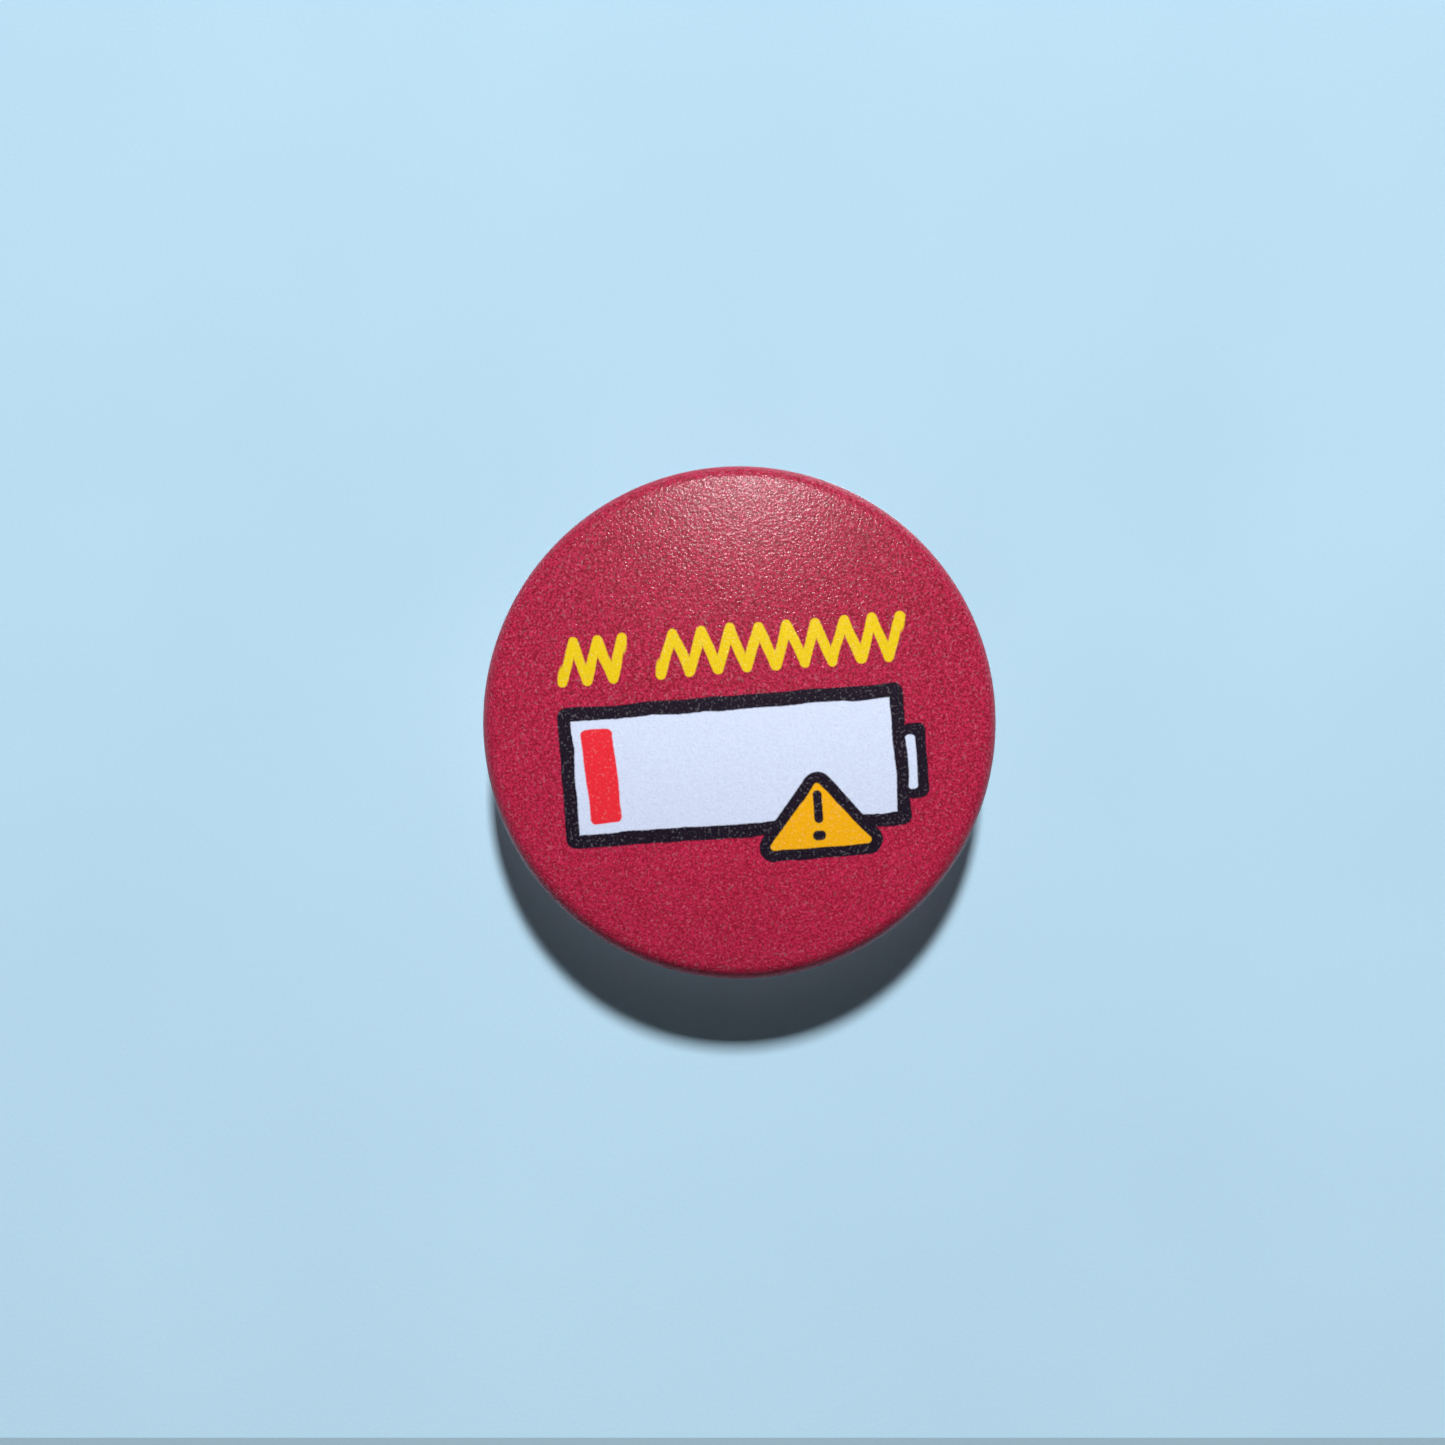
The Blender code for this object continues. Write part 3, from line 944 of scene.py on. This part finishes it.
def build_wires():
    """The fixed arm from its tail to the coil's cut, and the needle from there to its point."""
    nickel = nickel_material("nickel_wire", True, linear(208, 203, 194), linear(182, 176, 166))
    tail = Vector((FIXED_ARM_END, SWING_AXIS.y, SWING_AXIS.z))
    path = [tail] + straight(tail, coil_point(0), SHAFT_STEPS) + coil_path(0, COIL_SPLIT)[1:]
    arm = tube_mesh("fixed_arm", path, [WIRE_RADIUS] * len(path), WIRE_SIDES)
    arm.materials.append(nickel)
    add_piece("fixed_arm_wire", arm, "safety_pin", "nickel_wire", "pin_fixed_arm")

    path = coil_path(COIL_SPLIT + COIL_GAP, 1.5 - NEEDLE_SLOPE / math.tau)
    root = path[-1]
    run = NEEDLE_TIP_X - root.x
    tip = Vector((NEEDLE_TIP_X, SWING_AXIS.y, root.z - run * math.tan(NEEDLE_SLOPE)))
    point_start = root + (tip - root) * (1 - POINT_LENGTH / (tip - root).length)
    path += straight(root, point_start, SHAFT_STEPS)
    radii = [WIRE_RADIUS] * len(path)
    path += straight(point_start, tip, POINT_STEPS)
    for i in range(POINT_STEPS):
        left = 1 - (i + 1) / POINT_STEPS
        radii.append(POINT_RADIUS + (WIRE_RADIUS - POINT_RADIUS) * left**POINT_CURVE)
    needle = tube_mesh("needle", path, radii, WIRE_SIDES)
    needle.materials.append(nickel)
    add_piece("needle_wire", needle, "needle", "nickel_wire", "pin_needle")


# The guard: a pocket for the needle's point, a tighter fold round the fixed arm with a crimp below it, and
# rounded far corners.
GUARD_LOW, GUARD_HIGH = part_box("pin_guard")
GUARD_TOP_CORNER = 2.0 * MM
GUARD_BOTTOM_CORNER = 3.4 * MM
FOLD_HALF = 0.74 * MM
POCKET_HALF = 1.02 * MM
SHEET = 0.30 * MM
FOLD_HEIGHT = 1.75 * MM
CRIMP_BELOW_TOP = 1.75 * MM
CRIMP_WIDTH = 0.28 * MM
CRIMP_DEPTH = 0.2 * MM
GUARD_BORE = 0.46 * MM
END_WALL = 0.75 * MM
END_ROLL = 0.8 * MM
LIP_ROLL = 0.5 * MM
LIP_SHARE = 0.82
GUARD_COLUMNS = 44
GUARD_ROWS = 40


def guard_span(x):
    """The guard's lowest and highest z at an x, from its outline of two round corners."""
    low = GUARD_LOW.z
    high = GUARD_HIGH.z
    past_bottom = x - (GUARD_HIGH.x - GUARD_BOTTOM_CORNER)
    past_top = x - (GUARD_HIGH.x - GUARD_TOP_CORNER)
    if past_bottom > 0:
        low += GUARD_BOTTOM_CORNER - math.sqrt(max(0, GUARD_BOTTOM_CORNER**2 - past_bottom**2))
    if past_top > 0:
        high -= GUARD_TOP_CORNER - math.sqrt(max(0, GUARD_TOP_CORNER**2 - past_top**2))
    return low, high


def guard_half(x, z, low, high):
    """Half the guard's thickness at a place: thin round the wire, full over the pocket, rolled at edges."""
    below_top = GUARD_HIGH.z - z
    pocket = smooth_step(FOLD_HEIGHT - 0.45 * MM, FOLD_HEIGHT + 0.35 * MM, below_top)
    pocket *= smooth_step(GUARD_HIGH.x - 0.1 * MM, GUARD_HIGH.x - 1.3 * MM, x)
    crimp = math.exp(-(((below_top - CRIMP_BELOW_TOP) / CRIMP_WIDTH) ** 2))
    crimp *= smooth_step(GUARD_HIGH.x - 0.3 * MM, GUARD_HIGH.x - 2.2 * MM, x)
    crimp *= smooth_step(GUARD_LOW.x + 0.2 * MM, GUARD_LOW.x + 1.4 * MM, x)
    half = FOLD_HALF + (POCKET_HALF - FOLD_HALF) * pocket - CRIMP_DEPTH * crimp
    roll_top = min(1.0, (high - z) / FOLD_HALF)
    roll_end = min(1.0, (GUARD_HIGH.x - x) / END_ROLL)
    lip = min(1.0, (z - low) / LIP_ROLL + LIP_SHARE)
    for share in (roll_top, roll_end):
        half *= math.sqrt(max(0.0, 1 - (1 - share) ** 2))
    return half * lip


def guard_solid():
    """The folded head as a solid pillow, before its pocket is cut.

    Its columns and rows draw together towards the rounded end and top.
    """
    shape = bmesh.new()
    back = []
    front = []
    for column in range(GUARD_COLUMNS + 1):
        x = GUARD_LOW.x + (GUARD_HIGH.x - GUARD_LOW.x) * math.sin(math.pi / 2 * column / GUARD_COLUMNS)
        low, high = guard_span(x)
        for layer in (back, front):
            layer.append([])
        for row in range(GUARD_ROWS + 1):
            z = low + (high - low) * math.sin(math.pi / 2 * row / GUARD_ROWS)
            half = guard_half(x, z, low, high)
            back[-1].append(shape.verts.new((x, SWING_AXIS.y + half, z)))
            front[-1].append(shape.verts.new((x, SWING_AXIS.y - half, z)))
    for layer in (back, front):
        for here, beyond in zip(layer, layer[1:]):
            for row in range(GUARD_ROWS):
                shape.faces.new((here[row], beyond[row], beyond[row + 1], here[row + 1]))
    for row in range(GUARD_ROWS):
        shape.faces.new((back[0][row], back[0][row + 1], front[0][row + 1], front[0][row]))
    for column in range(GUARD_COLUMNS):
        beyond = column + 1
        shape.faces.new((back[column][0], back[beyond][0], front[beyond][0], front[column][0]))
    closed_up(shape)
    bmesh.ops.recalc_face_normals(shape, faces=shape.faces)
    mesh = bpy.data.meshes.new("guard")
    shape.to_mesh(mesh)
    shape.free()
    return mesh


def build_guard():
    pocket_half = POCKET_HALF - SHEET
    low = (GUARD_LOW.x - 2 * MM, SWING_AXIS.y - pocket_half, GUARD_LOW.z - 2 * MM)
    high = (GUARD_HIGH.x - END_WALL, SWING_AXIS.y + pocket_half, GUARD_HIGH.z - FOLD_HEIGHT - SHEET)
    pocket = box_object("pocket", low, high)
    circle = arc((0, 0), GUARD_BORE, 0, math.tau, 24)[:-1]
    bore = rounded_prism("bore", circle, along_x(GUARD_LOW.x - 1 * MM), along_x(FIXED_ARM_END + 0.1 * MM), 0)
    mesh = faced_out(carve(guard_solid(), [("DIFFERENCE", pocket), ("DIFFERENCE", bore)]), 38)
    bright = linear(214, 210, 202)
    worn = linear(190, 186, 178)
    mesh.materials.append(nickel_material("nickel_sheet", False, bright, worn))
    add_piece("guard_cap", mesh, "safety_pin", "nickel_sheet", "pin_guard")


# ---------------------------------------------------------------- stage, lights and camera

STAND_OFF = 6.0 * MM
WALL_Y = BACK_Y + STAND_OFF
WALL_TOP = 0.5
GROUND_Z = -0.105
GROUND_FRONT = -0.9
GROUND_BEND = 0.02
SHEET_HALF_WIDTH = 0.7


def backdrop_material(name, shaded, lit):
    """Pale matte card that shows only from the side that faces the badge.

    What lies behind it lights and is mirrored by the badge's back wherever the camera sees that back, but
    no such light comes round to the front by a bounce.
    """
    material, tree = new_material(name)
    where = place(tree)
    tooth = clouds(tree, where, 0.5, detail=4.0, rough=0.6)
    shade = clouds(tree, where, 40.0, detail=2.0)
    colour = blended(tree, shade, shaded, lit)
    normal = bumped(tree, tooth, 0.02 * MM)
    card = principled(tree, Base_Color=colour, Roughness=0.9, Normal=normal, Specular_IOR_Level=0.2)
    clear = node(tree, "ShaderNodeBsdfTransparent")
    away = node(tree, "ShaderNodeNewGeometry", "Backfacing")
    bounces = node(tree, "ShaderNodeLightPath", "Diffuse Depth")
    to_lamp = node(tree, "ShaderNodeLightPath", "Is Shadow Ray") * bounces.math("LESS_THAN", 0.5)
    under_badge = off_axis(tree, where).math("LESS_THAN", FLANGE_RADIUS / MM)
    indirect = node(tree, "ShaderNodeLightPath", "Is Camera Ray").math("LESS_THAN", 0.5)
    from_back = under_badge * indirect * bounces.math("LESS_THAN", 1.5)
    passing = away.math("MAXIMUM", to_lamp).math("MAXIMUM", from_back)
    show(tree, mixed(tree, passing, card, clear))
    return material


def sheet(name, line, material):
    """A wide sheet along a line of (y, z) points. Its front is on the line's left."""
    shape = bmesh.new()
    left = [shape.verts.new((-SHEET_HALF_WIDTH, y, z)) for y, z in line]
    right = [shape.verts.new((SHEET_HALF_WIDTH, y, z)) for y, z in line]
    for i in range(len(line) - 1):
        shape.faces.new((left[i], right[i], right[i + 1], left[i + 1]))
    obj = helper_object(name, shape)
    obj.data.shade_smooth()
    obj.data.materials.append(material)
    return obj


def build_stage():
    """A card upright just behind the badge, and a floor that sweeps up to it from the front.

    The floor throws no light back at the badge.
    """
    card = backdrop_material("pale_card", linear(173, 206, 225), linear(181, 214, 232))
    floor = backdrop_material("pale_floor", linear(142, 167, 181), linear(150, 175, 188))
    bend_centre = (WALL_Y - GROUND_BEND, GROUND_Z + GROUND_BEND)
    bend = arc(bend_centre, GROUND_BEND, math.radians(180), math.radians(90), 12)
    line = [(GROUND_FRONT, GROUND_Z), *bend]
    ground = sheet("ground", line, floor)
    ground.visible_diffuse = False
    ground.visible_glossy = False
    ground.visible_shadow = False
    sheet("wall", [line[-1], (WALL_Y, WALL_TOP)], card)


def area_light(name, direction, distance, size, power, colour=(1, 1, 1)):
    """A square soft light that looks at the badge from a direction."""
    light = bpy.data.lights.new(name, "AREA")
    light.size = size
    light.energy = power
    light.color = colour
    obj = bpy.data.objects.new(name, light)
    bpy.context.scene.collection.objects.link(obj)
    away = Vector(direction).normalized()
    obj.location = away * distance
    obj.rotation_euler = away.to_track_quat("Z", "Y").to_euler()
    obj.visible_camera = False
    return obj


def build_lights():
    """A key light high in front with a weak fill below it, and a key light with two weak sides behind."""
    turn = math.radians(46)
    above = (0.05 * math.cos(turn), -math.sin(turn), math.cos(turn))
    area_light("key", above, distance=2.0, size=0.2, power=58.0, colour=(0.985, 0.99, 1.0))
    below = (-0.2, -1.0, -0.9)
    fill = area_light("front_fill", below, distance=0.9, size=0.7, power=0.5, colour=(0.97, 0.98, 1.0))
    fill.visible_glossy = False
    area_light("back_key", (0.5, 0.9, 1.0), distance=0.6, size=0.25, power=2.1)
    for side, x in (("left", -1.0), ("right", 1.0)):
        area_light("back_" + side, (x, 0.9, -0.25), distance=0.6, size=0.5, power=0.35)


def build_world():
    """A pale studio all round: dim in front of the badge, bright behind it and where the camera sees it."""
    world = bpy.data.worlds.new("studio")
    bpy.context.scene.world = world
    world.use_nodes = True
    tree = world.node_tree
    tree.nodes.clear()
    _, back, up = node(tree, "ShaderNodeTexCoord", "Generated").parts()
    height = ranged(tree, up, -0.6, 0.9, 0.0, 1.0)
    colour = blended(tree, height, (0.42, 0.45, 0.5, 1), (0.95, 0.97, 1.0, 1))
    behind = ranged(tree, back, -0.1, 0.6, 0.032, 0.5)
    seen = node(tree, "ShaderNodeLightPath", "Is Camera Ray")
    strength = ranged(tree, seen, 0.0, 1.0, behind, 0.75)
    background = node(tree, "ShaderNodeBackground", Color=colour, Strength=strength)
    output = tree.nodes.new("ShaderNodeOutputWorld")
    plug(tree, background, output.inputs["Surface"])


# The camera's distance from the badge's widest circle, and the width that it takes in there.
CAMERA_DISTANCE = 0.168
FRAME_WIDTH = 0.163
CAMERA_SHIFT = -1.9 * MM


def build_camera():
    """Square on to the face and close to it, a little left of the badge's axis."""
    camera = bpy.data.cameras.new("camera")
    camera.sensor_width = 36
    camera.lens = camera.sensor_width * CAMERA_DISTANCE / FRAME_WIDTH
    camera.clip_start = 0.005
    camera.clip_end = 10
    obj = bpy.data.objects.new("camera", camera)
    bpy.context.scene.collection.objects.link(obj)
    rim_y = BACK_Y - RIM_DEPTH
    obj.location = (CAMERA_SHIFT, rim_y - CAMERA_DISTANCE, 0)
    obj.rotation_euler = (math.radians(90), 0, 0)
    bpy.context.scene.camera = obj


build_skins()
build_back_plate()
build_wires()
build_guard()
build_stage()
build_lights()
build_world()
build_camera()
bpy.context.scene.view_settings.view_transform = "Standard"
